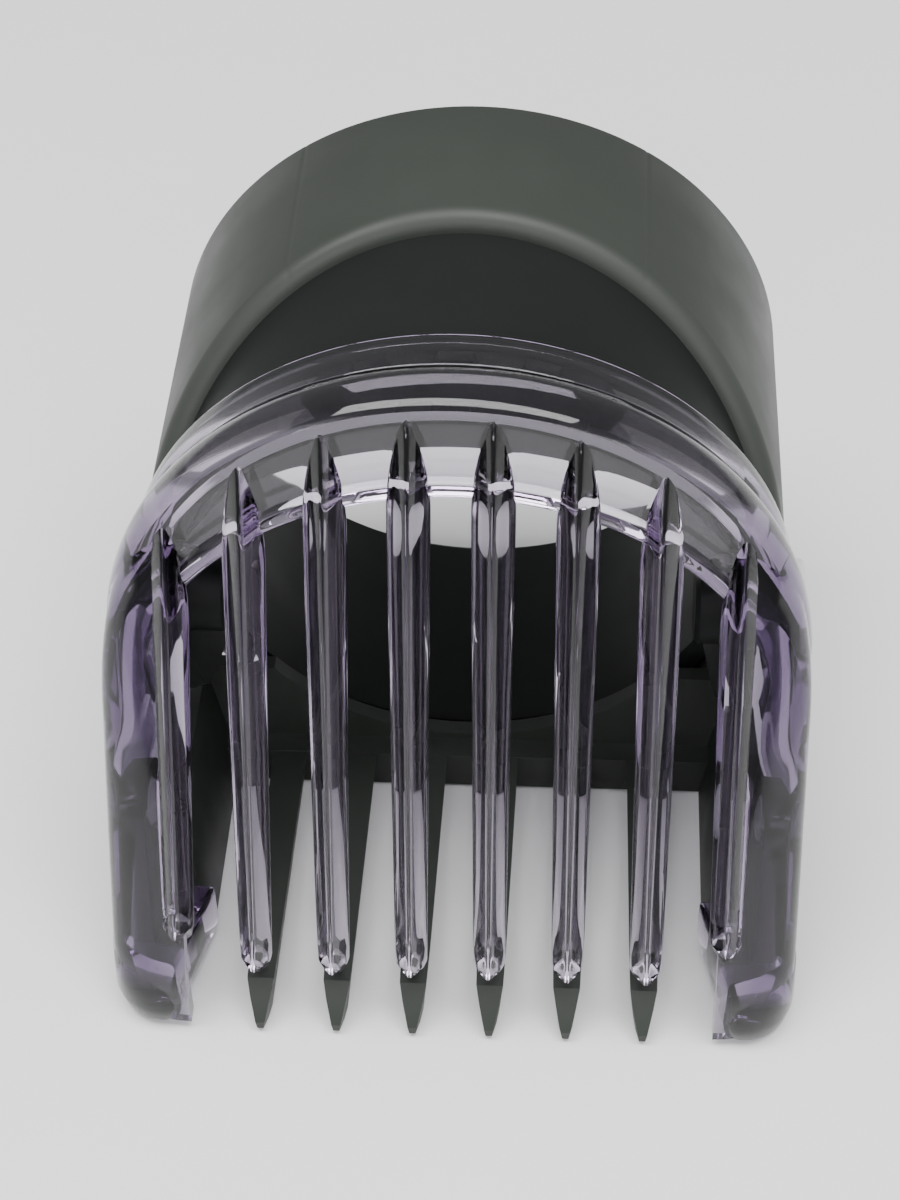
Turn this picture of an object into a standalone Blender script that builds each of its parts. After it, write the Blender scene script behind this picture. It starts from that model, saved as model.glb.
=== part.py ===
"""Slide-on guard comb for a hair clipper.

A round sleeve pushes over the clipper's neck. A clear comb with eight ribs hangs on two
side pins in front of it and can rock back, so that the ribs follow the head.

Axes: x across the comb, y from the comb's tips to the sleeve's rear rim, z up from the table.
Lengths in this file are millimetres. at() turns them into metres about the object's centre.
"""

import math

import bmesh
import bpy
from mathutils import Vector

MM = 0.001
GAP = 0.3                    # clearance between pieces that touch

# Sleeve and the neck inside it
SLEEVE_RADIUS = 26.5
SLEEVE_WALL = 1.3
AXIS_HEIGHT = SLEEVE_RADIUS  # the sleeve lies on the table
REAR_Y = 54.5
LIP_SIDE_Y = 26.7            # front edge of the sleeve beside the pivots
LIP_AXIS_Y = 23.2            # where the leaning upper lip would cross the sleeve's axis
LIP_BOTTOM_Y = 29.2          # front edge of the sleeve behind the tine plate
LIP_SLOPE = 0.6              # the upper lip leans back by this much for each unit of height
LIP_ROUND = 0.9
NECK_WALL = 2.3
NECK_REAR_Y = 53.4
NECK_MOUTH = 24.2            # the bore widens to this radius at the rear
NECK_TAPER_Y = 33.0          # from here back
RAIL_RADIUS = 22.3           # guide rails that run in the clipper's side grooves
RAIL_FRONT_Y = 36.0
RAIL_REAR_Y = 52.4
RAIL_HALF_ANGLE = 3.1        # degrees
NECK_TOP_Y = 24.0            # front edge of the neck between its tabs
NECK_TAB = 1.6               # length of the tabs under the comb's rear flange
NECK_TAB_PITCH = 15.0        # degrees
NECK_TAB_HALF_ANGLE = 3.7
NECK_TAB_LIMIT = 75.0        # degrees from the top without tabs beyond
ROOF_FRONT_Y = 20.8          # an inward lip thickens the neck's roof at the front
ROOF_REAR_Y = 22.4
ROOF_RADIUS = 32.0           # its lower edge is a flat arc
ROOF_DROP = 12.6             # whose centre lies this far below the axis
NECK_SIDE_Y = 19.7
NECK_OUTER = SLEEVE_RADIUS - SLEEVE_WALL - GAP
NECK_INNER = NECK_OUTER - NECK_WALL

# Clear comb
RIB_COUNT = 8
RIB_PITCH = 6.3
RIB_TOP_Y = 15.2
RIB_END_Y = -1.8
RIB_END_Z = 8.2
RIB_TIP_Z = 4.8
OUTER_RIB_LIFT = 2.4         # the outer ribs end this much higher, above the shoes
RIB_WIDTH_TOP = 3.5
RIB_WIDTH_END = 2.6
RIB_PROW = 8.0               # the ribs widen from a pointed top over this height
RIB_DEPTH_TOP = 4.8
RIB_DEPTH_END = 3.8
ARCH_RADIUS = 28.2           # top of the rounded roll
ARCH_EDGE_RADIUS = 27.2      # edge where the ribs start
FLANGE_RADIUS = 27.0
FLANGE_BORE = 25.8
FLANGE_REAR_Y = 24.5
ARCH_END_ANGLE = 98.0        # degrees each side of the top
WEB_RADIUS = 26.0            # lower edge of the arch's front web
WEB_DROP = 6.5               # its centre lies this far below the sleeve's axis
WEB_REAR_Y = 16.6
ROLL_Y = 17.4                # middle of the rounded roll
SIDE_OUTER = 28.0            # half the width of the comb
SIDE_WALL = 1.4
SIDE_WALL_TOP = 2.2          # thicker above the tine frame's cheek
SHOE_INNER = 20.3            # inner face at the rear
SHOE_TAPER = 2.0             # the inner face leans outwards this much towards the front
SHOE_REAR_Y = 8.0
SHOE_HEIGHT = 6.9
SHOE_RIM = 0.12              # the toe stands out this far beyond the side wall
CORNER_DEPTH = 4.2           # how far back the side wall's front corner turns
FRONT_Y = -2.0               # foremost face of the shoes

# Dark tine frame
PLATE_TOP = 4.3
PLATE_BOTTOM = 0.3
PLATE_FRONT_Y = 25.0
PLATE_REAR_Y = 28.5
CHEEK_OUTER = SIDE_OUTER - SIDE_WALL - GAP
CHEEK_INNER = 24.5
LEDGE_Z = 13.0               # top of the frame's rear wall and of its cheeks' inner blocks
WALL_FRONT_Y = 27.0
WALL_BORE = 21.5             # the rear wall is open in front of the neck's bore
BLOCK_FRONT_Y = 8.5
BLOCK_INNER = 20.8
TOE_INNER = 22.7             # the cheek's thick front end lies inside the shoe
TOE_FRONT_Y = 2.6
TOE_TOP = 5.5
BLOCK_LEAN = 2.0             # the blocks' inner faces lean outwards towards the top
TINE_ROOT_WIDTH = 3.0
TINE_TIP_WIDTH = 2.2

# Pivot pins, their springs, and the pegs that hold comb and tine frame together
PIVOT_Y = 22.9
PIVOT_Z = AXIS_HEIGHT
PIN_RADIUS = 1.3
PIN_HEAD_RADIUS = 2.1
PIN_INNER = 20.0
PIN_OUTER = 27.9
PIN_HEAD = 0.7
RUNNING_GAP = 0.2
WIRE_RADIUS = 0.25
COIL_RADIUS = 1.9
COIL_TURNS = 2.5
COIL_PITCH = 0.54
SPRING_X = 20.8              # where the coil starts, counted from the middle of the comb
LEG_X = 25.35                # the front leg runs between the neck and the comb's flange
BOSS_INNER = 19.0
BOSS_RADIUS = 3.1
PEG_Y = 9.6
PEG_Z = 16.5
PEG_RADIUS = 2.4

Y_CENTRE = (REAR_Y + FRONT_Y) / 2


def at(x, y, z):
    """A point in millimetres as world metres about the centre of the base."""
    return Vector((x, y - Y_CENTRE, z)) * MM


def plastic(name, colour, roughness, metallic=0.0, alpha=1.0):
    material = bpy.data.materials.new(name)
    material.use_nodes = True
    shader = material.node_tree.nodes["Principled BSDF"]
    shader.inputs["Base Color"].default_value = (*colour, 1.0)
    shader.inputs["Roughness"].default_value = roughness
    shader.inputs["Metallic"].default_value = metallic
    shader.inputs["Alpha"].default_value = alpha
    return material


def new_piece(name, mesh):
    """Close a bmesh into an object with outward faces."""
    bmesh.ops.recalc_face_normals(mesh, faces=mesh.faces)
    data = bpy.data.meshes.new(name)
    mesh.to_mesh(data)
    mesh.free()
    piece = bpy.data.objects.new(name, data)
    bpy.context.scene.collection.objects.link(piece)
    return piece


def lofted(name, sections, ring=False):
    """Body through closed sections with equal point counts, capped unless it joins itself."""
    mesh = bmesh.new()
    loops = [[mesh.verts.new(at(*point)) for point in section] for section in sections]
    followers = loops[1:] + loops[:1] if ring else loops[1:]
    for here, there in zip(loops, followers):
        for i in range(len(here)):
            j = (i + 1) % len(here)
            mesh.faces.new((here[i], here[j], there[j], there[i]))
    if not ring:
        mesh.faces.new(loops[0])
        mesh.faces.new(loops[-1])
    return new_piece(name, mesh)


def swept_ring(name, outline_at, first, last, steps):
    """Body around the sleeve's axis. outline_at(angle) gives its (y, radius) outline, angle 0 on top."""
    full_circle = last - first == 360
    sections = []
    for i in range(steps if full_circle else steps + 1):
        degrees = first + (last - first) * i / steps
        angle = math.radians(degrees)
        outline = outline_at(degrees)
        sections.append([(r * math.sin(angle), y, AXIS_HEIGHT + r * math.cos(angle)) for y, r in outline])
    return lofted(name, sections, ring=full_circle)


def turned(name, outline, y, z, side, steps=40):
    """Body turned about a line parallel to x through (y, z). outline holds (|x|, radius) points."""
    sections = []
    for x, r in outline:
        circle = [math.tau * i / steps for i in range(steps)]
        sections.append([(side * x, y + r * math.sin(a), z + r * math.cos(a)) for a in circle])
    return lofted(name, sections)


def plate(name, outline, x_low, x_high):
    """A flat (y, z) outline given thickness along x."""
    return lofted(name, [[(x, y, z) for y, z in outline] for x in (x_low, x_high)])


def block(name, x_range, y_range, z_range):
    (y0, y1), (z0, z1) = y_range, z_range
    return plate(name, [(y0, z0), (y1, z0), (y1, z1), (y0, z1)], *x_range)


def combine(piece, tools, operation):
    """Join tools to a piece or cut them from it, one after the other."""
    for tool in tools:
        step = piece.modifiers.new(tool.name, "BOOLEAN")
        step.operation = operation
        step.object = tool
    settle(piece)
    for tool in tools:
        bpy.data.objects.remove(tool)


def settle(piece):
    """Make the modified shape the piece's own mesh."""
    graph = bpy.context.evaluated_depsgraph_get()
    graph.update()
    shape = bpy.data.meshes.new_from_object(piece.evaluated_get(graph))
    piece.modifiers.clear()
    piece.data = shape


def finish(piece, material):
    """Give a piece its material and smooth shading between its sharp edges."""
    piece.data.materials.clear()
    piece.data.materials.append(material)
    piece.data.shade_smooth()
    piece.data.set_sharp_from_angle(angle=math.radians(35))
    return piece


def blend(a, b, t):
    return a + (b - a) * t


def smooth_step(value, low, high):
    t = min(1.0, max(0.0, (value - low) / (high - low)))
    return t * t * (3 - 2 * t)


# Sleeve -------------------------------------------------------------------------------------


def sleeve_lip(degrees):
    """Front edge of the sleeve: leaning back above the pivots, upright beside and below them."""
    height = SLEEVE_RADIUS * math.cos(math.radians(degrees))
    side_height = (LIP_SIDE_Y - LIP_AXIS_Y) / LIP_SLOPE
    upper = LIP_SIDE_Y + LIP_SLOPE * max(0.0, height - side_height)
    lower = (LIP_BOTTOM_Y - LIP_SIDE_Y) * smooth_step(-height, 4.0, 16.0)
    return upper + lower


def sleeve_outline(degrees):
    front = sleeve_lip(degrees)
    inner = SLEEVE_RADIUS - SLEEVE_WALL
    outline = []
    for turn in (0, 30, 60, 90):
        angle = math.radians(turn)
        y = front + LIP_ROUND * (1 - math.cos(angle))
        outline.append((y, SLEEVE_RADIUS - LIP_ROUND * (1 - math.sin(angle))))
    outline += [(REAR_Y - 0.4, SLEEVE_RADIUS), (REAR_Y, SLEEVE_RADIUS - 0.4)]
    outline += [(REAR_Y, inner + 0.2), (REAR_Y - 0.2, inner)]
    outline += [(front + 0.3, inner), (front, inner + 0.3)]
    return outline


def make_sleeve():
    sleeve = swept_ring("sleeve_shell", sleeve_outline, 0, 360, 120)
    return finish(sleeve, plastic("grey_plastic", (0.10, 0.11, 0.10), 0.55))


# Neck ---------------------------------------------------------------------------------------


def neck_front(degrees):
    """Front edge of the neck: tabs on top, long sides for the pivots, set back below."""
    off_top = abs((degrees + 180) % 360 - 180)
    if off_top < NECK_TAB_LIMIT:
        from_tab = abs(off_top % NECK_TAB_PITCH - NECK_TAB_PITCH / 2)
        return NECK_TOP_Y - NECK_TAB if from_tab < NECK_TAB_HALF_ANGLE else NECK_TOP_Y
    side = blend(NECK_TOP_Y, NECK_SIDE_Y, smooth_step(off_top, 75, 82))
    return blend(side, LIP_BOTTOM_Y + 0.3, smooth_step(off_top, 110, 118))


def roof_edge(degrees):
    """Radius of the lower edge of the roof's lip."""
    angle = math.radians(degrees)
    across = ROOF_DROP * math.sin(angle)
    return math.sqrt(ROOF_RADIUS ** 2 - across ** 2) - ROOF_DROP * math.cos(angle)


def neck_bore(degrees):
    """Inside of the neck from its mouth forward: a slow taper with a guide rail on each side."""
    places = [NECK_REAR_Y - 0.3, RAIL_REAR_Y, RAIL_REAR_Y - 0.8]
    places += [RAIL_FRONT_Y + 0.8, RAIL_FRONT_Y, NECK_TAPER_Y]
    outline = []
    for y in places:
        t = (y - NECK_TAPER_Y) / (NECK_REAR_Y - NECK_TAPER_Y)
        outline.append((y, blend(NECK_INNER, NECK_MOUTH, t)))
    if abs(abs(degrees - 180) - 90) < RAIL_HALF_ANGLE:
        outline[2] = (places[2], RAIL_RADIUS)
        outline[3] = (places[3], RAIL_RADIUS)
    return outline


def neck_outline(degrees):
    front = neck_front(degrees)
    outline = [(front, NECK_OUTER - 0.3), (front + 0.3, NECK_OUTER)]
    outline += [(NECK_REAR_Y - 0.2, NECK_OUTER), (NECK_REAR_Y, NECK_OUTER - 0.2)]
    outline += [(NECK_REAR_Y, NECK_MOUTH + 0.2)]
    outline += neck_bore(degrees)
    off_top = abs((degrees + 180) % 360 - 180)
    fade = smooth_step(off_top, 60, 72)
    lip_front = blend(ROOF_FRONT_Y, front + 0.05, fade)
    lip_rear = blend(ROOF_REAR_Y, front + 0.6, fade)
    lip = min(NECK_INNER, roof_edge(degrees)) if off_top < 90 else NECK_INNER
    outline += [(lip_rear + 2.0, NECK_INNER), (lip_rear, lip), (lip_front, lip)]
    outline += [(lip_front, NECK_INNER + 0.3), (front, NECK_INNER + 0.5)]
    return outline


def make_neck():
    neck = swept_ring("neck_carrier", neck_outline, 0, 360, 240)
    combine(neck, [pivot_boss(side) for side in (-1, 1)], "UNION")
    combine(neck, [tool for side in (-1, 1) for tool in boss_cuts(side)], "DIFFERENCE")
    return finish(neck, plastic("black_plastic", (0.018, 0.020, 0.019), 0.5))


def pivot_boss(side):
    """Round housing on the neck's inner side for a pin's end and its spring."""
    reach = [(BOSS_INNER, BOSS_RADIUS - 0.4), (BOSS_INNER + 0.4, BOSS_RADIUS)]
    reach += [(NECK_OUTER - 0.9, BOSS_RADIUS)]
    return turned("pivot_boss", reach, PIVOT_Y, PIVOT_Z, side)


def boss_cuts(side):
    """The pin's bearing, the spring's room and the slot for the spring's rear leg."""
    bearing = [(BOSS_INNER + 0.6, PIN_RADIUS + RUNNING_GAP), (SPRING_X, PIN_RADIUS + RUNNING_GAP)]
    room = [(SPRING_X - GAP, COIL_RADIUS + 0.35), (30.0, COIL_RADIUS + 0.35)]
    slot_x = side_range(side, SPRING_X - GAP, SPRING_X + 0.9)
    slot = block("leg_slot", slot_x, (PIVOT_Y, PIVOT_Y + 4.0), (PIVOT_Z + 1.1, PIVOT_Z + 2.4))
    return [turned("bore", outline, PIVOT_Y, PIVOT_Z, side) for outline in (bearing, room)] + [slot]


# Clear comb -------------------------------------------------------------------------------------


def web_edge(degrees):
    """Radius of the web's lower edge, an arc about a lower centre."""
    angle = math.radians(degrees)
    across = WEB_DROP * math.sin(angle)
    return math.sqrt(WEB_RADIUS ** 2 - across ** 2) - WEB_DROP * math.cos(angle)


def arch_outline(degrees):
    """Section of the arch: rear flange, groove, rounded roll, front web."""
    web = min(web_edge(degrees), FLANGE_BORE - 0.9)
    outline = [(FLANGE_REAR_Y, FLANGE_BORE + 0.3), (FLANGE_REAR_Y, FLANGE_RADIUS - 0.4)]
    outline += [(FLANGE_REAR_Y - 0.4, FLANGE_RADIUS), (20.9, FLANGE_RADIUS)]
    outline += [(20.6, FLANGE_RADIUS - 0.5), (20.2, FLANGE_RADIUS - 0.5), (20.0, FLANGE_RADIUS + 0.2)]
    for turn in (70, 90, 110, 130, 150):
        angle = math.radians(turn)
        outline.append((ROLL_Y + 2.0 * math.cos(angle), ARCH_RADIUS - 1.5 * (1 - math.sin(angle))))
    outline += [(RIB_TOP_Y + 0.1, ARCH_EDGE_RADIUS - 0.2), (RIB_TOP_Y, ARCH_EDGE_RADIUS - 0.6)]
    outline += [(RIB_TOP_Y - 0.7, web + 0.4), (RIB_TOP_Y - 0.4, web), (RIB_TOP_Y + 0.9, web)]
    outline += [(WEB_REAR_Y, web + 0.4), (WEB_REAR_Y, FLANGE_BORE - 0.4), (WEB_REAR_Y + 0.4, FLANGE_BORE)]
    outline += [(FLANGE_REAR_Y - 0.3, FLANGE_BORE)]
    return outline


def rib_top(x):
    return AXIS_HEIGHT + math.sqrt((ARCH_EDGE_RADIUS - 0.5) ** 2 - x ** 2)


def rib_ridge(z, top):
    """How far forward the rib's front ridge lies at a height."""
    t = max(0.0, (top - z) / (top - RIB_END_Z))
    return blend(RIB_TOP_Y, RIB_END_Y, t ** 0.9)


def rib_section(x, z, t, top):
    """Level cut through a rib: a long diamond with sharp front and rear ridges and rounded sides."""
    ridge = rib_ridge(z, top)
    prow = 0.3 + 0.7 * smooth_step(top - z, -2.0, RIB_PROW)
    half = prow * blend(RIB_WIDTH_TOP, RIB_WIDTH_END, t) / 2
    rear = min(16.2, ridge + blend(RIB_DEPTH_TOP, RIB_DEPTH_END, t))
    flank = [(0.52, 0.185), (0.9, 0.38), (1.0, 0.52), (0.84, 0.67), (0.1, 1.0)]
    right = [(x + half * u, blend(ridge, rear, v), z) for u, v in flank]
    left = [(x - half * u, blend(ridge, rear, v), z) for u, v in flank[::-1]]
    return [(x, ridge, z)] + right + left


def rib(x, lift):
    """A rib with a sharp front ridge, ending in a pointed chamfer over its tine or shoe."""
    top = rib_top(x)
    steps = 9
    sections = []
    for i in range(steps + 1):
        t = i / steps
        sections.append(rib_section(x, blend(top, RIB_END_Z + lift, t), t, top))
    rear = max(y for _, y, _ in sections[-1])
    tip = RIB_TIP_Z + lift
    chamfer = []
    for px, py, _ in sections[-1]:
        chamfer.append((blend(x, px, 0.55), blend(rear, py, 0.6), tip + (rear - py) * 0.1))
    sections.append(chamfer)
    return lofted("rib", sections)


def side_rear(z):
    """Rear edge of the side wall at a height: back to the pivot, then forward into the arch."""
    return 10.5 + 13.5 * smooth_step(z, -2.0, 24.0) - 5.5 * smooth_step(z, 30.0, 38.0)


def side_wall(side):
    """Wall that runs back from the outer rib round the comb's corner and covers the tine frame's cheek."""
    rib_x = RIB_PITCH * (RIB_COUNT - 1) / 2
    top = rib_top(rib_x) - 1.0
    sections = []
    steps = 17
    for i in range(steps + 1):
        z = blend(1.0, top, i / steps)
        ring_limit = math.sqrt(ARCH_RADIUS ** 2 - max(0.0, z - AXIS_HEIGHT) ** 2) - 0.25
        outer = min(SIDE_OUTER, ring_limit)
        front = max(FRONT_Y + 0.2, rib_ridge(z, rib_top(rib_x)) + 0.9)
        wall = blend(SIDE_WALL, SIDE_WALL_TOP, smooth_step(z, 20.0, 24.0))
        sections.append(corner_section(side, z, (rib_x - 0.6, outer), (front, side_rear(z)), wall))
    return lofted("side_wall", sections)


def corner_section(side, z, x_range, y_range, wall):
    """Level cut through the side wall: a quarter turn from the rib, then straight back."""
    (x_start, outer), (front, rear) = x_range, y_range
    depth = min(CORNER_DEPTH, (rear - front) * 0.6)
    corner = []
    for turn in (0, 22.5, 45, 67.5, 90):
        angle = math.radians(turn)
        corner.append((math.sin(angle), 1 - math.cos(angle)))
    outside = [(blend(x_start, outer, u), front + depth * v) for u, v in corner] + [(outer, rear)]
    inside_x = outer - wall
    inside = [(blend(x_start, inside_x, u), front + wall + (depth - wall * 0.5) * v) for u, v in corner]
    inside.append((inside_x, rear))
    return [(side * x, y, z) for x, y in outside + inside[::-1]]


def shoe(side):
    """Thick clear toe at the front of each side, rounded in plan and towards the table."""
    levels = [
        (0.0, 1.5, 0.0),
        (0.5, 0.6, 0.0),
        (1.4, 0.15, 0.0),
        (2.6, 0.0, 0.0),
        (4.8, 0.0, 0.4),
        (SHOE_HEIGHT - 0.4, 0.0, 1.0),
        (SHOE_HEIGHT, 0.4, 1.0),
    ]
    return lofted("shoe", [toe_outline(side, z, inset, lean) for z, inset, lean in levels])


def toe_outline(side, z, inset, lean):
    """Plan of the toe at a height, pulled in by inset all round and by lean at the front."""
    low, high = SHOE_INNER + SHOE_TAPER + inset, SIDE_OUTER + SHOE_RIM - inset
    front, rear = FRONT_Y + inset + lean, SHOE_REAR_Y - inset
    inner_round = 1.1
    outer_round = min(CORNER_DEPTH, high - low - inner_round - 0.2)
    outline = [(SHOE_INNER + inset, rear)]
    for turn in (0, 30, 60, 90):
        u, v = 1 - math.cos(math.radians(turn)), 1 - math.sin(math.radians(turn))
        outline.append((low + inner_round * u, front + inner_round * v))
    for turn in (0, 22.5, 45, 67.5, 90):
        u, v = 1 - math.sin(math.radians(turn)), 1 - math.cos(math.radians(turn))
        outline.append((high - outer_round * u, front + outer_round * v))
    outline.append((high, rear))
    return [(side * x, y, z) for x, y in outline]


def cheek_outline(grow):
    """Side view of the tine frame's cheek, widened all round by grow for the pocket it sits in."""
    eye = 3.9 + grow
    outline = [(2.4 - grow, 1.0 - grow), (2.4 - grow, 8.0), (PEG_Y - eye, PEG_Z)]
    for turn in (150, 120, 90, 60, 30):
        angle = math.radians(turn)
        outline.append((PEG_Y + eye * math.cos(angle), PEG_Z + eye * math.sin(angle)))
    outline += [(PEG_Y + 4.3 + grow, PEG_Z - 1.0), (PEG_Y + 5.4, 13.0 + grow), (24.0, 13.0 + grow)]
    outline += [(25.6 + grow, 12.0), (PLATE_REAR_Y + grow, PLATE_TOP + 0.6)]
    outline += [(PLATE_REAR_Y + grow, PLATE_BOTTOM - grow), (4.0, 1.0 - grow)]
    return outline


def side_range(side, low, high):
    return (low, high) if side > 0 else (-high, -low)


def cheek(side, grow=0.0):
    """Flat cheek of the tine frame, or with grow the room for it in the comb's side."""
    outline = cheek_outline(grow)
    return plate("cheek", outline, *side_range(side, CHEEK_INNER - grow, CHEEK_OUTER + grow))


def toe_block(side, grow=0.0):
    """Thick front end of the cheek inside the shoe, or with grow the room for it."""
    x_range = side_range(side, TOE_INNER - grow, CHEEK_INNER + 0.5)
    y_range = (TOE_FRONT_Y - grow, BLOCK_FRONT_Y + 0.4 + grow)
    return block("toe_block", x_range, y_range, (1.0 - grow, TOE_TOP + grow))


def pin_seat(side):
    """Stepped hole for a pivot pin and its head."""
    bore, head = PIN_RADIUS + RUNNING_GAP, PIN_HEAD_RADIUS + RUNNING_GAP
    face = PIN_OUTER - PIN_HEAD - RUNNING_GAP
    outline = [(22.0, bore), (face, bore), (face + 0.01, head), (30.0, head)]
    return turned("pin_seat", outline, PIVOT_Y, PIVOT_Z, side)


def peg_drill(side):
    reach = [(22.0, PEG_RADIUS + RUNNING_GAP), (30.0, PEG_RADIUS + RUNNING_GAP)]
    return turned("peg_drill", reach, PEG_Y, PEG_Z, side)


def rib_places():
    first = -RIB_PITCH * (RIB_COUNT - 1) / 2
    return [first + RIB_PITCH * i for i in range(RIB_COUNT)]


def make_comb():
    comb = swept_ring("clear_comb", arch_outline, -ARCH_END_ANGLE, ARCH_END_ANGLE, 72)
    places = rib_places()
    additions = [rib(x, OUTER_RIB_LIFT if x in (places[0], places[-1]) else 0.0) for x in places]
    for side in (-1, 1):
        additions += [side_wall(side), shoe(side)]
    combine(comb, additions, "UNION")
    cuts = []
    for side in (-1, 1):
        cuts += [cheek(side, GAP), toe_block(side, GAP), pin_seat(side), peg_drill(side)]
    combine(comb, cuts, "DIFFERENCE")
    return finish(comb, plastic("clear_violet_plastic", (0.62, 0.56, 0.68), 0.06, alpha=0.35))


# Tine frame -------------------------------------------------------------------------------------


def tine(x):
    stations = [
        (PLATE_FRONT_Y + 0.8, TINE_ROOT_WIDTH, PLATE_TOP - 0.05, PLATE_BOTTOM + 0.05),
        (4.0, TINE_TIP_WIDTH + 0.2, PLATE_TOP - 0.1, 0.6),
        (0.6, TINE_TIP_WIDTH, PLATE_TOP - 0.2, 0.4),
        (-0.6, TINE_TIP_WIDTH * 0.75, PLATE_TOP - 1.2, 0.35),
        (FRONT_Y + 0.1, TINE_TIP_WIDTH * 0.35, PLATE_TOP - 3.0, 0.5),
    ]
    sections = []
    for y, width, high, low in stations:
        top, bottom = width / 2, width * 0.34
        sections.append([(x - top, y, high), (x + top, y, high), (x + bottom, y, low), (x - bottom, y, low)])
    return lofted("tine", sections)


def rear_wall():
    """Wall behind the plate that closes the corners round the neck."""
    reach = CHEEK_OUTER - 0.6
    limit = math.degrees(math.acos((AXIS_HEIGHT - LEDGE_Z) / WALL_BORE))
    outline = [(-reach, LEDGE_Z), (-reach, PLATE_BOTTOM + 0.2), (reach, PLATE_BOTTOM + 0.2), (reach, LEDGE_Z)]
    for i in range(25):
        angle = math.radians(limit * (1 - i / 12))
        outline.append((WALL_BORE * math.sin(angle), AXIS_HEIGHT - WALL_BORE * math.cos(angle)))
    faces = (WALL_FRONT_Y, PLATE_REAR_Y - 0.1)
    return lofted("rear_wall", [[(x, y, z) for x, z in outline] for y in faces])


def inner_block(side):
    """Thick part of a cheek behind the shoe, its inner face leaning outwards."""
    sections = []
    for y, high in ((BLOCK_FRONT_Y, 6.0), (BLOCK_FRONT_Y + 2.8, LEDGE_Z), (PLATE_REAR_Y - 0.2, LEDGE_Z)):
        top_x = BLOCK_INNER + BLOCK_LEAN * high / LEDGE_Z
        outline = [(BLOCK_INNER, PLATE_BOTTOM + 0.1), (CHEEK_INNER + 0.4, PLATE_BOTTOM + 0.1)]
        outline += [(CHEEK_INNER + 0.4, high), (top_x, high)]
        sections.append([(side * x, y, z) for x, z in outline])
    return lofted("inner_block", sections)


def make_tine_frame():
    reach = CHEEK_OUTER - 0.4
    frame = block("tine_frame", (-reach, reach), (PLATE_FRONT_Y, PLATE_REAR_Y), (PLATE_BOTTOM, PLATE_TOP))
    inner_tines = [tine(x) for x in rib_places()[1:-1]]
    sides = [make(side) for side in (-1, 1) for make in (cheek, toe_block, inner_block)]
    combine(frame, [rear_wall()] + inner_tines + sides, "UNION")
    combine(frame, [peg_drill(-1), peg_drill(1)], "DIFFERENCE")
    return finish(frame, plastic("dark_grey_plastic", (0.055, 0.062, 0.056), 0.5))


# Pins, springs, pegs ------------------------------------------------------------------------------


def side_name(stem, side):
    return stem + ("_left" if side < 0 else "_right")


def make_pivot_pin(side, material):
    """Headed pin pressed in from the outside of the comb."""
    neck_end = PIN_OUTER - PIN_HEAD
    outline = [
        (PIN_INNER, PIN_RADIUS - 0.2),
        (PIN_INNER + 0.2, PIN_RADIUS),
        (neck_end, PIN_RADIUS),
        (neck_end + 0.01, PIN_HEAD_RADIUS),
        (PIN_OUTER - 0.2, PIN_HEAD_RADIUS),
        (PIN_OUTER, PIN_HEAD_RADIUS - 0.2),
    ]
    pin = turned(side_name("pivot_pin", side), outline, PIVOT_Y, PIVOT_Z, side, 32)
    return finish(pin, material)


def make_return_spring(side, material):
    """Torsion spring round the pin: rear leg in the boss's slot, front leg against the comb."""
    points = [(SPRING_X, PIVOT_Y + 3.0, PIVOT_Z + COIL_RADIUS)]
    steps = int(COIL_TURNS * 16)
    for i in range(steps + 1):
        turns = COIL_TURNS * i / steps
        angle = math.tau * turns
        points.append((SPRING_X + COIL_PITCH * turns, PIVOT_Y - COIL_RADIUS * math.sin(angle),
                       PIVOT_Z + COIL_RADIUS * math.cos(angle)))
    low = PIVOT_Z - COIL_RADIUS
    points += [(LEG_X - 0.4, PIVOT_Y, low), (LEG_X, PIVOT_Y - 0.4, low), (LEG_X, PIVOT_Y - 4.5, low)]
    curve = bpy.data.curves.new(side_name("return_spring", side), "CURVE")
    curve.dimensions = "3D"
    curve.bevel_depth = WIRE_RADIUS * MM
    curve.bevel_resolution = 2
    curve.use_fill_caps = True
    line = curve.splines.new("POLY")
    line.points.add(len(points) - 1)
    for place, (x, y, z) in zip(line.points, points):
        place.co = (*at(side * x, y, z), 1.0)
    curve.materials.append(material)
    spring = bpy.data.objects.new(curve.name, curve)
    bpy.context.scene.collection.objects.link(spring)
    return spring


def make_peg(side, material):
    inner, outer = CHEEK_INNER, SIDE_OUTER - 0.1
    outline = [
        (inner, PEG_RADIUS - 0.3),
        (inner + 0.3, PEG_RADIUS),
        (outer - 0.2, PEG_RADIUS),
        (outer, PEG_RADIUS - 0.3),
    ]
    peg = turned(side_name("frame_peg", side), outline, PEG_Y, PEG_Z, side)
    return finish(peg, material)


def main():
    for leftover in list(bpy.data.objects):
        bpy.data.objects.remove(leftover)
    make_sleeve()
    make_neck()
    moving = [make_comb(), make_tine_frame()]
    pin_steel = plastic("pin_steel", (0.55, 0.55, 0.56), 0.35, metallic=1.0)
    spring_steel = plastic("spring_steel", (0.45, 0.45, 0.46), 0.3, metallic=1.0)
    peg_plastic = plastic("peg_plastic", (0.75, 0.74, 0.78), 0.2)
    for side in (-1, 1):
        moving.append(make_pivot_pin(side, pin_steel))
        moving.append(make_return_spring(side, spring_steel))
        moving.append(make_peg(side, peg_plastic))
    pivot = bpy.data.objects.new("comb_pivot", None)
    pivot.location = at(0, PIVOT_Y, PIVOT_Z)
    bpy.context.scene.collection.objects.link(pivot)
    bpy.context.view_layer.update()
    for piece in moving:
        piece.parent = pivot
        piece.matrix_parent_inverse = pivot.matrix_world.inverted()


main()
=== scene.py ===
"""Looks of the slide-on clipper guard comb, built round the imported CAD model."""
import math

import bmesh
import bpy
from mathutils import Matrix, Vector


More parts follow.
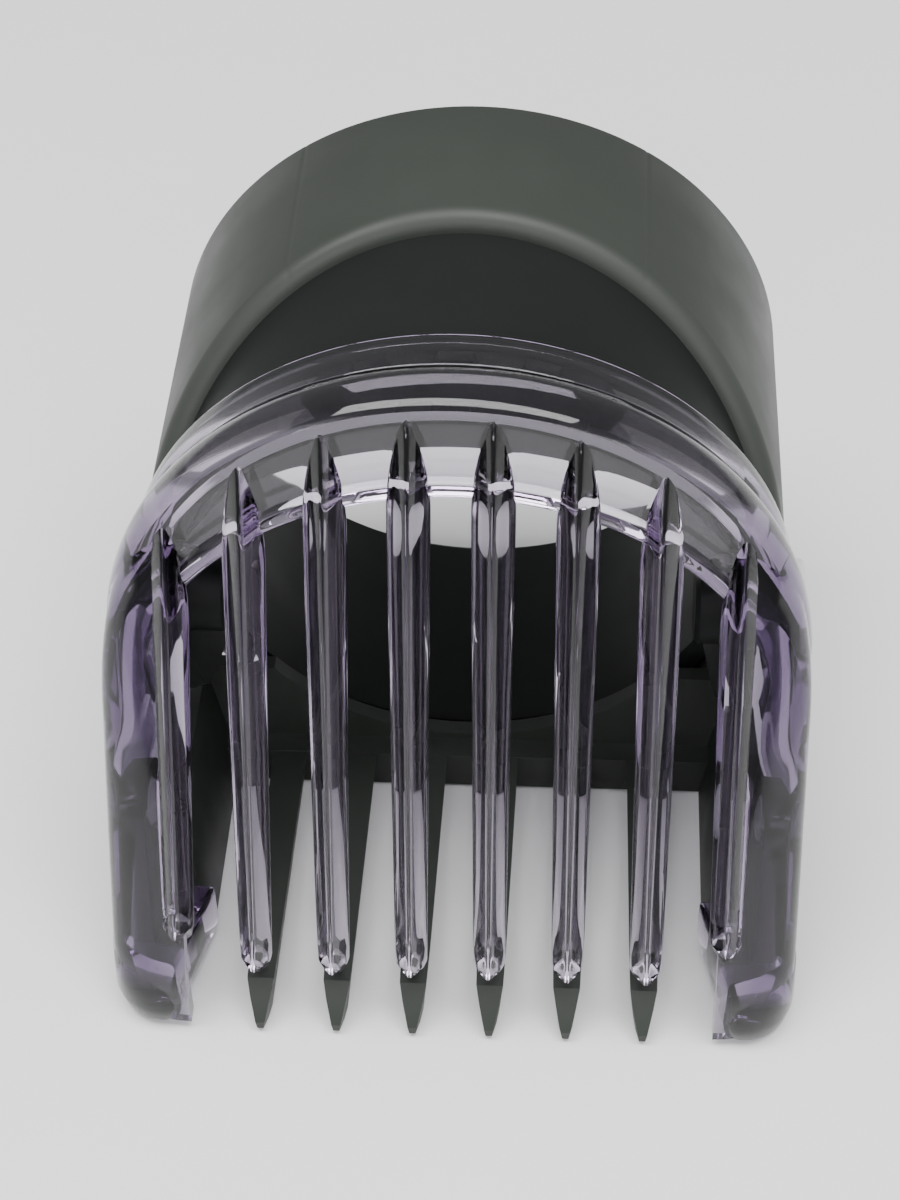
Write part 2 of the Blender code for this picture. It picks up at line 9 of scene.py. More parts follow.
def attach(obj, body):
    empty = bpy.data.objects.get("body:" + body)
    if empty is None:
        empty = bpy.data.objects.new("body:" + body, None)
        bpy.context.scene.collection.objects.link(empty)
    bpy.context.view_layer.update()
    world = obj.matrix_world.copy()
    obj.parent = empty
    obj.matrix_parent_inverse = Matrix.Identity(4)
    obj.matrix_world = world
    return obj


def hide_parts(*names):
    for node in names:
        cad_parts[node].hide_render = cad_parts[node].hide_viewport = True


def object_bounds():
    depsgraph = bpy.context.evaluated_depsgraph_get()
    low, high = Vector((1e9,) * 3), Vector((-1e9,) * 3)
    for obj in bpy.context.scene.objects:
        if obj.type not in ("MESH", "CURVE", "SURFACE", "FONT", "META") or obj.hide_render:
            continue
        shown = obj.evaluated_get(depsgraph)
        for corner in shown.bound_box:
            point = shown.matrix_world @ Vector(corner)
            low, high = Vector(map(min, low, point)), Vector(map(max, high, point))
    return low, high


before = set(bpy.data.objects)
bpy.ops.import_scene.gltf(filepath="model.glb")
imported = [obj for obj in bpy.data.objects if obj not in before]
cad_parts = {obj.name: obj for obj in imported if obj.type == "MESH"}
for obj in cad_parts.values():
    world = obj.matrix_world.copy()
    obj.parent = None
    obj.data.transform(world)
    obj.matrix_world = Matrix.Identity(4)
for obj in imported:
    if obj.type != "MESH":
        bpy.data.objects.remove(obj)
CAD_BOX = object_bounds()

MM = 0.001
SLEEVE, COMB = "clipper_sleeve", "tilting_comb"

# Sizes of the CAD model in millimetres: x across, y back from the tips, z up
FRONT_Y = -2.0
AXIS_Z = 26.5
REAR_Y = 54.5
SLEEVE_RADIUS = 26.5
SLEEVE_BORE = 25.2
NECK_RADIUS = 24.9
LIP_Y, LIP_SLOPE, LIP_START = 26.7, 0.6, 3.5 / 0.6
LIP_CHIN = 2.5
LIP_DEPTH = 1.7
SEAM_ANGLE, SEAM_HALF_ANGLE, SEAM_DEPTH = 33, 0.5, 0.04
ARCH_RADIUS = 28.2
ARCH_EDGE = 27.2
ARCH_END = 98.0
FLANGE_RADIUS = 27.0
FLANGE_BORE = 25.8
FLANGE_REAR_Y, FLANGE_FRONT_Y = 24.5, 20.95
FLANGE_ROUND = 0.4
GROOVE_DEPTH = 0.45
ROLL_Y, ROLL_DEPTH, ROLL_HEIGHT = 17.5, 2.5, 1.2
WEB_REAR_Y = 16.6
WEB_ARC_RADIUS, WEB_ARC_DROP = 26.0, 6.5
RIB_COUNT = 8
RIB_PITCH = 6.3
OUTER_RIB_X = RIB_PITCH * (RIB_COUNT - 1) / 2
RIB_TOP_Y, RIB_END_Y = 15.2, -1.8
RIB_REAR_Y = 16.2
RIB_END_Z, RIB_TIP_Z = 8.2, 4.8
RIB_WIDTH_TOP, RIB_WIDTH_END = 3.5, 2.6
RIB_DEPTH_TOP, RIB_DEPTH_END = 4.8, 3.8
OUTER_RIB_LIFT = 2.4
SIDE_OUTER = 28.0
SIDE_WALL, SIDE_WALL_TOP = 1.4, 2.2
SIDE_REAR_LOW_Y, SIDE_REAR_RISE, SIDE_REAR_RETURN = 10.5, 13.5, 5.5
CORNER_DEPTH = 4.2
SHOE_INNER = 20.3
SHOE_REAR_Y = 8.0
SHOE_HEIGHT = 6.9
SHOE_BULGE = 0.12
SHOE_TAPER, SHOE_INNER_ROUND = 2.0, 1.1
CHEEK_INNER, CHEEK_OUTER = 24.5, 26.3
CHEEK_FRONT_Y, CHEEK_FOOT_Z = 2.4, 1.0
LEDGE_Z = 13.0
TOE_INNER = 22.7
TOE_FRONT_Y, TOE_REAR_Y, TOE_TOP_Z = 2.6, 9.2, 5.5
PIVOT_Y, PIVOT_Z = 22.9, 26.5
PIN_HOLE, PIN_HEAD_HOLE, PIN_HEAD_X = 1.5, 2.3, 27.0
PEG_Y, PEG_Z = 9.6, 16.5
PEG_HOLE, PEG_EYE = 2.6, 3.9
HOLE_INNER, HOLE_OUTER = 22.0, 30.0
GAP = 0.3

# How finely the pieces are cut
SLEEVE_STEPS, ARCH_STEPS = 720, 144
RIB_STEPS, WALL_STEPS, CORNER_STEPS = 30, 37, 9
BEVEL_STEPS, BEVEL_ANGLE = 3, 32


# Placing and building meshes -------------------------------------------------------------------


def at(x, y, z):
    """Millimetres of the CAD model as a point of the row frame."""
    return Vector((x * MM, CAD_BOX[0].y + (y - FRONT_Y) * MM, z * MM))


def linked(name, data):
    """A new object in the scene."""
    thing = bpy.data.objects.new(name, data)
    bpy.context.scene.collection.objects.link(thing)
    return thing


def new_piece(name, mesh):
    """An object from a finished bmesh, which is freed."""
    data = bpy.data.meshes.new(name)
    mesh.to_mesh(data)
    mesh.free()
    return linked(name, data)


def lofted(name, sections, ring=False):
    """Closed body through sections with equal point counts."""
    mesh = bmesh.new()
    loops = [[mesh.verts.new(at(*point)) for point in section] for section in sections]
    followers = loops[1:] + loops[:1] if ring else loops[1:]
    for here, there in zip(loops, followers):
        for i in range(len(here)):
            j = (i + 1) % len(here)
            mesh.faces.new((here[i], here[j], there[j], there[i]))
    if not ring:
        mesh.faces.new(loops[0])
        mesh.faces.new(loops[-1])
    bmesh.ops.recalc_face_normals(mesh, faces=mesh.faces)
    return new_piece(name, mesh)


def swept_ring(name, outline_at, first, last, steps):
    """Body turned about the sleeve's axis. outline_at gives (y, radius) points at an angle."""
    full_circle = last - first == 360
    sections = []
    for i in range(steps if full_circle else steps + 1):
        degrees = first + (last - first) * i / steps
        angle = math.radians(degrees)
        across, up = math.sin(angle), math.cos(angle)
        sections.append([(r * across, y, AXIS_Z + r * up) for y, r in outline_at(degrees)])
    return lofted(name, sections, ring=full_circle)


def turned(name, outline, y, z, side, steps=64):
    """Body turned about a line parallel to x. outline holds (|x|, radius) points."""
    circle = [math.tau * i / steps for i in range(steps)]
    sections = []
    for x, r in outline:
        sections.append([(side * x, y + r * math.sin(a), z + r * math.cos(a)) for a in circle])
    return lofted(name, sections)


def plate(name, outline, low, high):
    """Flat body of a (y, z) outline from x low to x high."""
    return lofted(name, [[(x, y, z) for y, z in outline] for x in (low, high)])


def combine(piece, tools, operation):
    """Boolean of a piece with its tools, which are used up."""
    for tool in tools:
        step = piece.modifiers.new(tool.name, "BOOLEAN")
        step.operation = operation
        step.object = tool
    graph = bpy.context.evaluated_depsgraph_get()
    graph.update()
    shape = bpy.data.meshes.new_from_object(piece.evaluated_get(graph))
    piece.modifiers.clear()
    piece.data = shape
    for tool in tools:
        bpy.data.objects.remove(tool)


def finish_piece(piece, material, body, *nodes, sharp=30):
    """Material, shading and body of a finished piece, and the CAD nodes it stands for."""
    piece.data.materials.clear()
    piece.data.materials.append(material)
    piece.data.shade_smooth()
    piece.data.set_sharp_from_angle(angle=math.radians(sharp))
    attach(piece, body)
    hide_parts(*nodes)


def blend(a, b, t):
    return a + (b - a) * t


def smooth_step(value, low, high):
    t = min(1.0, max(0.0, (value - low) / (high - low)))
    return t * t * (3 - 2 * t)


def arc(centre, radii, first, last, count):
    """Points of an elliptic arc in degrees, as (a, b) pairs."""
    (a, b), (a_radius, b_radius) = centre, radii
    turns = [math.radians(blend(first, last, i / (count - 1))) for i in range(count)]
    return [(a + a_radius * math.cos(t), b + b_radius * math.sin(t)) for t in turns]


# Materials -------------------------------------------------------------------------------------


class Material:
    """A Principled material with helpers for its procedural detail."""

    def __init__(self, name, roughness, **values):
        self.made = bpy.data.materials.new(name)
        self.made.use_nodes = True
        self.nodes = self.made.node_tree.nodes
        self.links = self.made.node_tree.links
        self.shader = self.nodes["Principled BSDF"]
        self.place = self.nodes.new("ShaderNodeTexCoord").outputs["Object"]
        self.shader.inputs["Roughness"].default_value = roughness
        for socket, value in values.items():
            self.shader.inputs[socket.replace("_", " ")].default_value = value

    def stretched(self, scale):
        """Object coordinates scaled along each axis."""
        mapping = self.nodes.new("ShaderNodeMapping")
        mapping.inputs["Scale"].default_value = scale
        self.links.new(self.place, mapping.inputs["Vector"])
        return mapping.outputs["Vector"]

    def noise(self, scale, detail=3.0, place=None):
        """Noise with features about 1/scale metres across."""
        texture = self.nodes.new("ShaderNodeTexNoise")
        texture.inputs["Scale"].default_value = scale
        texture.inputs["Detail"].default_value = detail
        self.links.new(place or self.place, texture.inputs["Vector"])
        return texture.outputs["Fac"]

    def specks(self, spacing, size, share):
        """Mask of small round specks in a share of cells of that spacing."""
        cells = self.nodes.new("ShaderNodeTexVoronoi")
        cells.inputs["Scale"].default_value = 1 / spacing
        self.links.new(self.place, cells.inputs["Vector"])
        near = self.calculated(cells.outputs["Distance"], "LESS_THAN", size / spacing)
        picked = self.nodes.new("ShaderNodeSeparateColor")
        self.links.new(cells.outputs["Color"], picked.inputs["Color"])
        chosen = self.calculated(picked.outputs["Red"], "LESS_THAN", share)
        return self.calculated(near, "MULTIPLY", chosen)

    def calculated(self, value, operation, other):
        """Result of a maths step on a socket and a number or another socket."""
        step = self.nodes.new("ShaderNodeMath")
        step.operation = operation
        self.links.new(value, step.inputs[0])
        if isinstance(other, float):
            step.inputs[1].default_value = other
        else:
            self.links.new(other, step.inputs[1])
        return step.outputs[0]

    def beyond(self, low, high):
        """0 to 1 as the distance across from the middle grows from low to high."""
        parts = self.nodes.new("ShaderNodeSeparateXYZ")
        self.links.new(self.place, parts.inputs["Vector"])
        across = self.calculated(parts.outputs["X"], "ABSOLUTE", 0.0)
        step = self.nodes.new("ShaderNodeMapRange")
        step.inputs["From Min"].default_value = low
        step.inputs["From Max"].default_value = high
        self.links.new(across, step.inputs["Value"])
        return step.outputs["Result"]

    def spread(self, value, low, high, socket):
        """Send a 0.3 to 0.7 noise to a number socket as low to high."""
        step = self.nodes.new("ShaderNodeMapRange")
        numbers = {"From Min": 0.3, "From Max": 0.7, "To Min": low, "To Max": high}
        for name, number in numbers.items():
            step.inputs[name].default_value = number
        self.links.new(value, step.inputs["Value"])
        self.links.new(step.outputs["Result"], self.shader.inputs[socket])

    def mixed(self, factor, low, high):
        """A colour between low and high. Either may be a socket."""
        step = self.nodes.new("ShaderNodeMix")
        step.data_type = "RGBA"
        self.links.new(factor, step.inputs["Factor"])
        for name, colour in (("A", low), ("B", high)):
            slot = [s for s in step.inputs if s.name == name and s.type == "RGBA"][0]
            if isinstance(colour, tuple):
                slot.default_value = (*colour, 1.0)
            else:
                self.links.new(colour, slot)
        return [s for s in step.outputs if s.type == "RGBA"][0]

    def colour(self, socket):
        """Use this socket as the base colour."""
        self.links.new(socket, self.shader.inputs["Base Color"])

    def bumps(self, *layers):
        """Layers of (height, distance in metres), one over the other."""
        below = None
        for height, distance in layers:
            bump = self.nodes.new("ShaderNodeBump")
            bump.inputs["Strength"].default_value = 1.0
            bump.inputs["Distance"].default_value = distance
            self.links.new(height, bump.inputs["Height"])
            if below:
                self.links.new(below, bump.inputs["Normal"])
            below = bump.outputs["Normal"]
        self.links.new(below, self.shader.inputs["Normal"])


def satin_plastic(name, colour, roughness, dust, gloss):
    """Moulded plastic with a fine eroded grain, uneven handling shine and a little dust."""
    look = Material(name, roughness, IOR=1.49, Specular_IOR_Level=gloss)
    darker = tuple(c * 0.88 for c in colour)
    lighter = tuple(c * 1.12 for c in colour)
    mottled = look.mixed(look.noise(90, detail=4), darker, lighter)
    dusty = tuple(min(1.0, c * 3 + 0.05) for c in colour)
    specks = look.specks(spacing=0.004, size=0.00011, share=dust)
    look.colour(look.mixed(specks, mottled, dusty))
    look.spread(look.noise(140, detail=5), roughness - 0.06, roughness + 0.07, "Roughness")
    grain, waves = look.noise(5200, detail=2), look.noise(260, detail=2)
    look.bumps((grain, 0.000006), (waves, 0.00001))
    return look.made


def clear_plastic():
    """Violet-tinted clear plastic, darker the longer the way through it, with painted shade
    darkening the sides and faint flow lines.
    """
    look = Material("clear_violet", 0.03, Transmission_Weight=1.0, IOR=1.5)
    middle = look.mixed(look.noise(70), (0.95, 0.93, 0.97), (0.99, 0.985, 1.0))
    # Painted shade: the base colour turns dark violet towards the sides, darkening the side walls
    # and shoes.
    painted_side_shade = (0.24, 0.20, 0.29)
    look.colour(look.mixed(look.beyond(0.0195, 0.0245), middle, painted_side_shade))
    look.spread(look.noise(200, detail=4), 0.015, 0.05, "Roughness")
    flow = look.noise(1.0, detail=2, place=look.stretched((260, 260, 60)))
    pits = look.specks(spacing=0.0035, size=0.00006, share=0.2)
    look.bumps((flow, 0.000012), (pits, 0.00001))
    depth = look.nodes.new("ShaderNodeVolumeAbsorption")
    depth.inputs["Color"].default_value = (0.57, 0.46, 0.64, 1.0)
    depth.inputs["Density"].default_value = 190.0
    look.links.new(depth.outputs["Volume"], look.nodes["Material Output"].inputs["Volume"])
    return look.made


def pale_clear_plastic():
    """Nearly colourless clear plastic of the pegs."""
    look = Material("peg_clear", 0.12, Transmission_Weight=0.35, IOR=1.5)
    look.colour(look.mixed(look.noise(300), (0.70, 0.69, 0.73), (0.80, 0.79, 0.83)))
    look.spread(look.noise(900, detail=4), 0.08, 0.2, "Roughness")
    look.bumps((look.noise(1200, detail=3), 0.000008))
    return look.made


def steel(name, colour, roughness):
    """Turned or drawn steel with fine marks along one direction."""
    look = Material(name, roughness, Metallic=1.0)
    marks = look.noise(1.0, detail=3, place=look.stretched((9000, 900, 900)))
    look.colour(look.mixed(marks, tuple(c * 0.8 for c in colour), colour))
    look.spread(marks, roughness - 0.1, roughness + 0.12, "Roughness")
    look.bumps((marks, 0.000004))
    return look.made


# Sleeve ----------------------------------------------------------------------------------------


def sleeve_lip(degrees):
    """Front edge: leaning back above the pivots, upright beside and below them."""
    height = SLEEVE_RADIUS * math.cos(math.radians(degrees))
    upper = LIP_Y + LIP_SLOPE * max(0.0, height - LIP_START)
    return upper + LIP_CHIN * smooth_step(-height, 4.0, 16.0)


def sleeve_outline(degrees):
    """Section with a softly rolled lip down to the neck and faint mould seams."""
    front = sleeve_lip(degrees)
    off_top = abs((degrees + 180) % 360 - 180)
    seam = SEAM_DEPTH * max(0.0, 1 - abs(off_top - SEAM_ANGLE) / SEAM_HALF_ANGLE)
    skin = SLEEVE_RADIUS - seam
    lip = arc((front + LIP_DEPTH, NECK_RADIUS), (LIP_DEPTH, skin - NECK_RADIUS), 180, 90, 12)
    outside = [(REAR_Y - 6.0, skin), (REAR_Y - 0.45, skin)]
    rear_rim = [(REAR_Y - 0.15, skin - 0.12), (REAR_Y, skin - 0.42), (REAR_Y, SLEEVE_BORE + 0.25)]
    inside = [(REAR_Y - 0.25, SLEEVE_BORE), (front + 1.0, SLEEVE_BORE)]
    return lip + outside + rear_rim + inside


def make_sleeve():
    grey = satin_plastic(
        "sleeve_grey", (0.030, 0.034, 0.029), roughness=0.48, dust=0.10, gloss=0.35
    )
    sleeve = swept_ring("sleeve_body", sleeve_outline, 0, 360, SLEEVE_STEPS)
    finish_piece(sleeve, grey, SLEEVE, "sleeve_shell")


# Clear comb ------------------------------------------------------------------------------------


def web_edge(degrees):
    """Radius of the arch web's lower edge, an arc about a lower centre."""
    angle = math.radians(degrees)
    across, up = WEB_ARC_DROP * math.sin(angle), WEB_ARC_DROP * math.cos(angle)
    return math.sqrt(WEB_ARC_RADIUS ** 2 - across ** 2) - up


def arch_outline(degrees):
    """Section of the arch: rear flange, groove, rounded roll, front web."""
    web = min(web_edge(degrees), FLANGE_BORE - 0.9)
    rear, front, top, bore = FLANGE_REAR_Y, FLANGE_FRONT_Y, FLANGE_RADIUS, FLANGE_BORE
    edge = FLANGE_ROUND
    flange = [(rear, bore + 0.3), (rear, top - edge)]
    flange += arc((rear - edge, top - edge), (edge, edge), 20, 90, 4)
    groove = [(front, top), (front - 0.15, top - 0.08), (front - 0.3, top - 0.3)]
    groove += [(front - 0.45, top - GROOVE_DEPTH), (front - 0.65, top - GROOVE_DEPTH)]
    groove += [(front - 0.83, top - 0.2), (front - 1.0, top + 0.25)]
    roll = arc((ROLL_Y, ARCH_RADIUS - ROLL_HEIGHT), (ROLL_DEPTH, ROLL_HEIGHT), 45, 160, 15)
    face_foot = ARCH_EDGE - 2.0
    bead = min(0.9, (face_foot - web) / 2.6)
    face = [(RIB_TOP_Y - 0.05, ARCH_EDGE - 0.9), (RIB_TOP_Y - 0.3, face_foot)]
    face += [(RIB_TOP_Y - 0.55, web + 2.2 * bead)]
    face += arc((RIB_TOP_Y - 0.35, web + bead), (0.85, bead), 130, 270, 8)
    under = [(RIB_TOP_Y + 0.8, web), (WEB_REAR_Y - 0.25, web + 0.12), (WEB_REAR_Y, web + 0.4)]
    under += [(WEB_REAR_Y, bore - 0.6), (WEB_REAR_Y + 0.2, bore - 0.15)]
    under += [(WEB_REAR_Y + 0.6, bore), (rear - 0.3, bore)]
    return flange + groove + roll + face + under


def rib_top(x):
    """Height of a rib's pointed top, just under the arch's edge."""
    return AXIS_Z + math.sqrt((ARCH_EDGE - 0.5) ** 2 - x ** 2)


def rib_ridge(z, top):
    """How far forward the rib's front ridge lies at a height."""
    t = max(0.0, (top - z) / (top - RIB_END_Z))
    return blend(RIB_TOP_Y, RIB_END_Y, t ** 0.9)


# Half of a rib's level cut from front ridge to rear ridge: shares of half its width and its depth
RIB_FLANK = [
    (0.05, 0.0), (0.14, 0.02), (0.26, 0.065), (0.52, 0.185), (0.78, 0.315),
    (0.9, 0.38), (0.975, 0.45), (1.0, 0.52), (0.96, 0.6),
    (0.8, 0.69), (0.5, 0.825), (0.2, 0.955), (0.07, 1.0),
]


def rib_section(x, z, t, top):
    """Level cut through a rib: a diamond with blunt side corners, narrow near the rib's top."""
    ridge = rib_ridge(z, top)
    narrowing = 0.3 + 0.7 * smooth_step(top - z, -2.0, 8.0)
    half = narrowing * blend(RIB_WIDTH_TOP, RIB_WIDTH_END, t) / 2
    rear = min(RIB_REAR_Y, ridge + blend(RIB_DEPTH_TOP, RIB_DEPTH_END, t))
    right = [(x + half * u, blend(ridge, rear, v), z) for u, v in RIB_FLANK]
    left = [(x - half * u, blend(ridge, rear, v), z) for u, v in RIB_FLANK[::-1]]
    return right + left


def rib(x, lift):
    """A rib with a pointed top, ending in a chamfer over its tine or shoe."""
    top = rib_top(x)
    sections = []
    for i in range(RIB_STEPS + 1):
        t = i / RIB_STEPS
        sections.append(rib_section(x, blend(top, RIB_END_Z + lift, t), t, top))
    last = sections[-1]
    rear = max(y for _, y, _ in last)
    tip = RIB_TIP_Z + lift
    for share in (0.5, 1.0):
        sections.append([
            (
                blend(px, x, 0.45 * share),
                blend(py, rear, 0.6 * share),
                blend(pz, tip + (rear - py) * 0.1, share),
            )
            for px, py, pz in last
        ])
    return lofted("rib", sections)


def side_rear(z):
    """Rear edge of the side wall at a height: out to the pivot, then back under the arch."""
    rise = SIDE_REAR_RISE * smooth_step(z, -2.0, 24.0)
    return SIDE_REAR_LOW_Y + rise - SIDE_REAR_RETURN * smooth_step(z, 30.0, 38.0)


def side_wall(side):
    """Wall that runs back from the outer rib round the comb's corner."""
    rib_height = rib_top(OUTER_RIB_X)
    sections = []
    for i in range(WALL_STEPS + 1):
        z = blend(1.0, rib_height - 1.0, i / WALL_STEPS)
        ring_limit = math.sqrt(ARCH_RADIUS ** 2 - max(0.0, z - AXIS_Z) ** 2) - 0.25
        across = (OUTER_RIB_X - 0.6, min(SIDE_OUTER, ring_limit))
        front = max(FRONT_Y + 0.2, rib_ridge(z, rib_height) + 0.9)
        wall = blend(SIDE_WALL, SIDE_WALL_TOP, smooth_step(z, 20.0, 24.0))
        sections.append(corner_section(side, z, across, (front, side_rear(z)), wall))
    return lofted("side_wall", sections)


def corner_section(side, z, x_range, y_range, wall):
    """Level cut through the side wall: a quarter turn from the rib, then straight back."""
    (x_start, outer), (front, rear) = x_range, y_range
    depth = min(CORNER_DEPTH, (rear - front) * 0.6)
    corner = []
    for i in range(CORNER_STEPS + 1):
        angle = math.radians(90 * i / CORNER_STEPS)
        corner.append((math.sin(angle), 1 - math.cos(angle)))
    inner, inner_depth = outer - wall, depth - wall * 0.5
    outside = [(blend(x_start, outer, u), front + depth * v) for u, v in corner]
    outside += [(outer, rear - 0.35), (outer - 0.12, rear - 0.1), (outer - 0.4, rear)]
    inside = [(blend(x_start, inner, u), front + wall + inner_depth * v) for u, v in corner]
    inside += [(inner, rear - 0.35), (inner + 0.12, rear - 0.1), (inner + 0.4, rear)]
    return [(side * x, y, z) for x, y in outside + inside[::-1]]


# Height, inset and lean of the shoe's level cuts, from the table up
SHOE_LEVELS = [
    (0.0, 1.5, 0.0), (0.15, 1.05, 0.0), (0.5, 0.6, 0.0), (0.9, 0.32, 0.0),
    (1.4, 0.15, 0.0), (2.6, 0.0, 0.0), (4.8, 0.0, 0.4), (6.2, 0.02, 0.85),
    (SHOE_HEIGHT - 0.35, 0.08, 1.0), (SHOE_HEIGHT - 0.1, 0.25, 1.0), (SHOE_HEIGHT, 0.5, 1.0),
]


def shoe(side):
    """Thick clear toe, rounded in plan and towards the table."""
    return lofted("shoe", [shoe_outline(side, *level) for level in SHOE_LEVELS])


def shoe_outline(side, z, inset, lean):
    """Plan of the shoe at a height, pulled in by inset all round and by lean at the front."""
    low, high = SHOE_INNER + SHOE_TAPER + inset, SIDE_OUTER + SHOE_BULGE - inset
    front, rear = FRONT_Y + inset + lean, SHOE_REAR_Y - inset
    inner_round, outer_round = SHOE_INNER_ROUND, min(CORNER_DEPTH, high - low - 1.3)
    outline = [(SHOE_INNER + inset, rear)]
    for i in range(7):
        u, v = 1 - math.cos(math.radians(15 * i)), 1 - math.sin(math.radians(15 * i))
        outline.append((low + inner_round * u, front + inner_round * v))
    for i in range(11):
        u, v = 1 - math.sin(math.radians(9 * i)), 1 - math.cos(math.radians(9 * i))
        outline.append((high - outer_round * u, front + outer_round * v))
    outline.append((high, rear))
    return [(side * x, y, z) for x, y in outline]


def side_range(side, low, high):
    """The x range from low to high on the right side, or its mirror image."""
    return (low, high) if side > 0 else (-high, -low)


def cheek_room(side):
    """Room for the tine frame's cheek and its thick toe inside the shoe and the side wall."""
    front, foot, ledge = CHEEK_FRONT_Y - GAP, CHEEK_FOOT_Z - GAP, LEDGE_Z + GAP
    eye = PEG_EYE + GAP
    cheek = [(front, foot), (front, 8.0), (PEG_Y - eye, PEG_Z)]
    cheek += arc((PEG_Y, PEG_Z), (eye, eye), 165, 15, 16)
    cheek += [(PEG_Y + 4.3 + GAP, PEG_Z - 1.0), (PEG_Y + 5.4, ledge), (24.0, ledge)]
    cheek += [(25.6 + GAP, 12.0), (28.5 + GAP, 4.9), (28.5 + GAP, 0.3 - GAP), (4.0, foot)]
    cheek_x = side_range(side, CHEEK_INNER - GAP, CHEEK_OUTER + GAP)
    front, top = TOE_FRONT_Y - GAP, TOE_TOP_Z + GAP
    toe = [(front, foot), (TOE_REAR_Y, foot), (TOE_REAR_Y, top), (front, top)]
    toe_x = side_range(side, TOE_INNER - GAP, CHEEK_INNER + 0.5)
    return [plate("cheek_room", cheek, *cheek_x), plate("toe_room", toe, *toe_x)]


def side_holes(side):
    """Stepped hole for the pivot pin and plain hole for the peg."""
    pin = [(HOLE_INNER, PIN_HOLE), (PIN_HEAD_X, PIN_HOLE)]
    pin += [(PIN_HEAD_X + 0.01, PIN_HEAD_HOLE), (HOLE_OUTER, PIN_HEAD_HOLE)]
    peg = [(HOLE_INNER, PEG_HOLE), (HOLE_OUTER, PEG_HOLE)]
    pin_seat = turned("pin_seat", pin, PIVOT_Y, PIVOT_Z, side)
    return [pin_seat, turned("peg_drill", peg, PEG_Y, PEG_Z, side)]


def make_comb():
    comb = swept_ring("comb_body", arch_outline, -ARCH_END, ARCH_END, ARCH_STEPS)
    additions = []
    for i in range(RIB_COUNT):
        lift = OUTER_RIB_LIFT if i in (0, RIB_COUNT - 1) else 0.0
        additions.append(rib(RIB_PITCH * i - OUTER_RIB_X, lift))
    for side in (-1, 1):
        additions += [side_wall(side), shoe(side)]
    combine(comb, additions, "UNION")
    cuts = []
    for side in (-1, 1):
        cuts += cheek_room(side) + side_holes(side)
    combine(comb, cuts, "DIFFERENCE")
    finish_piece(comb, clear_plastic(), COMB, "clear_comb", sharp=32)


# Pieces that keep the CAD shape, with their edges rounded --------------------------------------


def rounded_copy(node, name, width):
    """A CAD node's shape with its sharp edges rounded by a width in millimetres."""
    source = bpy.data.objects[node]
    flat_angle = math.radians(0.5)
    mesh = bmesh.new()
    mesh.from_mesh(source.data)
    bmesh.ops.transform(mesh, matrix=source.matrix_world, verts=mesh.verts)
    bmesh.ops.remove_doubles(mesh, verts=mesh.verts, dist=1e-7)
    bmesh.ops.dissolve_limit(mesh, angle_limit=flat_angle, verts=mesh.verts, edges=mesh.edges)
    piece = new_piece(name, mesh)
    bevel = piece.modifiers.new("round", "BEVEL")
    bevel.width = width * MM
    bevel.segments = BEVEL_STEPS
    bevel.limit_method = "ANGLE"
    bevel.angle_limit = math.radians(BEVEL_ANGLE)
    bevel.harden_normals = False
    return piece


def make_dark_pieces():
    # Painted shade: the neck's near-black colour, far darker than the sleeve's, stands in for the
    # shade on its crescent in front of the sleeve's lip.
    neck_shade = satin_plastic(
        "neck_painted_shade", (0.010, 0.0115, 0.0105), roughness=0.5, dust=0.20, gloss=0.15
    )
    neck = rounded_copy("neck_carrier", "neck_body", 0.12)
    finish_piece(neck, neck_shade, SLEEVE, "neck_carrier", sharp=35)
    dark = satin_plastic(
        "frame_dark", (0.022, 0.026, 0.0215), roughness=0.5, dust=0.15, gloss=0.35
    )
    tines = rounded_copy("tine_frame", "tine_frame_body", 0.18)
    finish_piece(tines, dark, COMB, "tine_frame", sharp=35)


def make_hardware():
    """Pins and pegs with rounded edges. The springs keep their CAD nodes."""
    pin = steel("pin_metal", (0.55, 0.55, 0.56), 0.32)
    wire = steel("wire", (0.45, 0.45, 0.46), 0.3)
    peg = pale_clear_plastic()
    for side in ("left", "right"):
        head = rounded_copy("pivot_pin_" + side, "pin_body_" + side, 0.08)
        finish_piece(head, pin, COMB, "pivot_pin_" + side)
        plug = rounded_copy("frame_peg_" + side, "peg_body_" + side, 0.1)
        finish_piece(plug, peg, COMB, "frame_peg_" + side)
        for slot in bpy.data.objects["return_spring_" + side].material_slots:
            slot.material = wire


# Studio ----------------------------------------------------------------------------------------


def area_light(name, place, target, size, power):
    """White panel of a size in metres and a power in watts, turned to its target."""
    data = bpy.data.lights.new(name, "AREA")
    data.shape = "RECTANGLE"
    data.size, data.size_y = size
    data.energy = power
    light = linked(name, data)
    light.location = place
    light.visible_camera = False
    light.rotation_mode = "QUATERNION"
    light.rotation_quaternion = (Vector(target) - Vector(place)).to_track_quat("-Z", "Y")


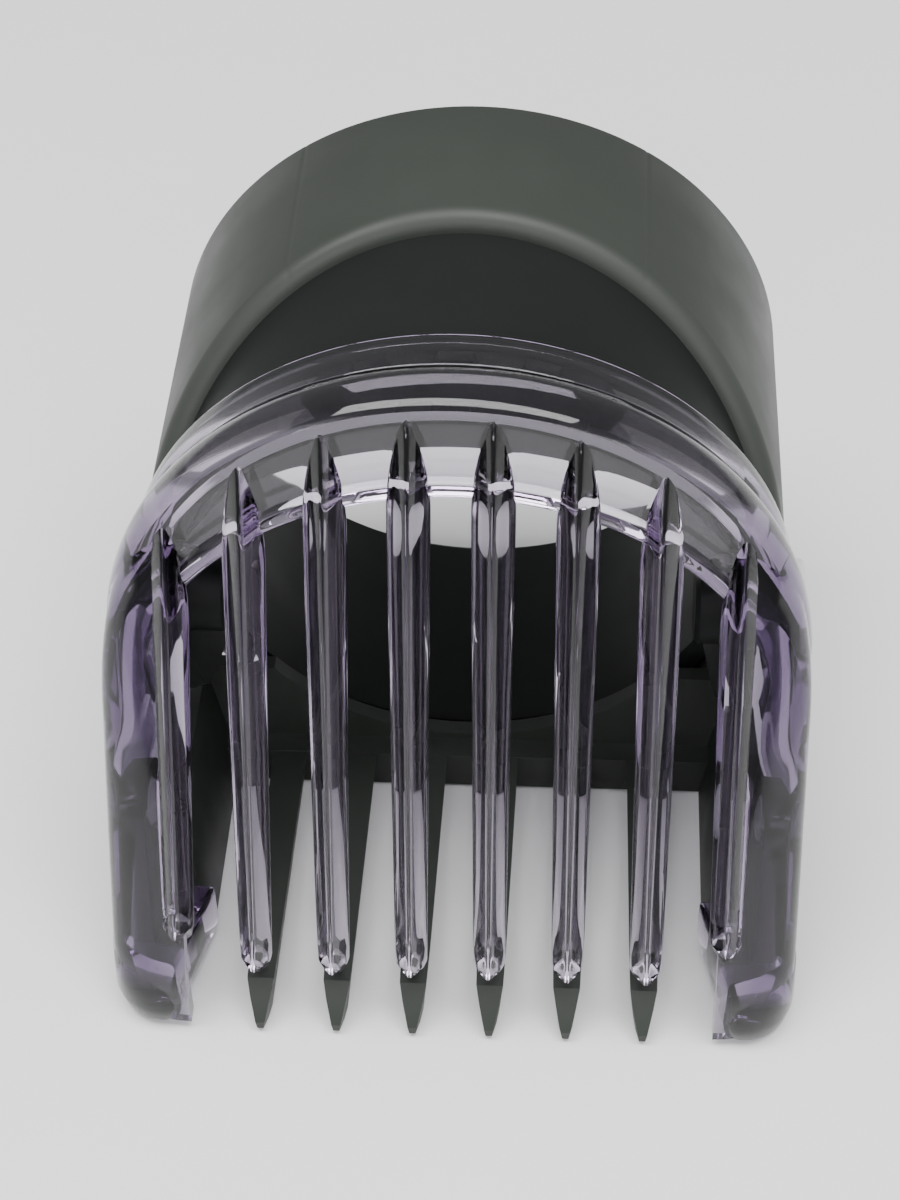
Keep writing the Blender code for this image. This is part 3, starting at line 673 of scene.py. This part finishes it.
def make_camera():
    """Camera above the front, fitted to the photo's outlines."""
    data = bpy.data.cameras.new("camera")
    data.lens = 73.0
    data.sensor_width = 36.0
    data.clip_start = 0.01
    data.clip_end = 10
    camera = linked("camera", data)
    yaw, pitch, roll = math.radians(-4.23), math.radians(46.0), math.radians(-1.55)
    level = math.cos(pitch)
    forward = Vector((math.sin(yaw) * level, math.cos(yaw) * level, -math.sin(pitch)))
    right = Vector((math.cos(yaw), -math.sin(yaw), 0))
    up = right.cross(forward)
    side = math.cos(roll) * right + math.sin(roll) * up
    top = -math.sin(roll) * right + math.cos(roll) * up
    camera.rotation_mode = "QUATERNION"
    camera.rotation_quaternion = Matrix((side, top, -forward)).transposed().to_quaternion()
    camera.location = (0.0093, -0.14135, 0.1697)
    bpy.context.scene.camera = camera


def make_floor():
    """Pale paper just under the object."""
    reach, gap = 3.0, 0.00002
    corners = [(-reach, -reach, 0), (reach, -reach, 0), (reach, reach, 0), (-reach, reach, 0)]
    mesh = bpy.data.meshes.new("floor")
    mesh.from_pydata(corners, [], [(0, 1, 2, 3)])
    floor = linked("floor", mesh)
    floor.location.z = CAD_BOX[0].z - gap
    look = Material("floor_paper", 0.6)
    look.colour(look.mixed(look.noise(40), (0.87, 0.87, 0.87), (0.9, 0.9, 0.9)))
    mesh.materials.append(look.made)


def make_world():
    world = bpy.data.worlds.new("studio")
    bpy.context.scene.world = world
    world.use_nodes = True
    back = world.node_tree.nodes["Background"]
    back.inputs["Color"].default_value = (0.96, 0.98, 1.0, 1)
    back.inputs["Strength"].default_value = 0.35


def make_lights():
    middle = (0, 0, 0.03)
    area_light("key", (-0.01, -0.07, 0.5), (0, 0, 0.02), size=(0.6, 0.22), power=4.2)
    area_light("front", (0.0, -0.44, 0.34), middle, size=(0.9, 0.2), power=2.2)
    for side in (-1, 1):
        area_light("side", (side * 0.5, 0.05, 0.25), middle, size=(0.5, 0.4), power=0.5)


def main():
    make_sleeve()
    make_comb()
    make_dark_pieces()
    make_hardware()
    make_floor()
    make_world()
    make_lights()
    make_camera()


main()
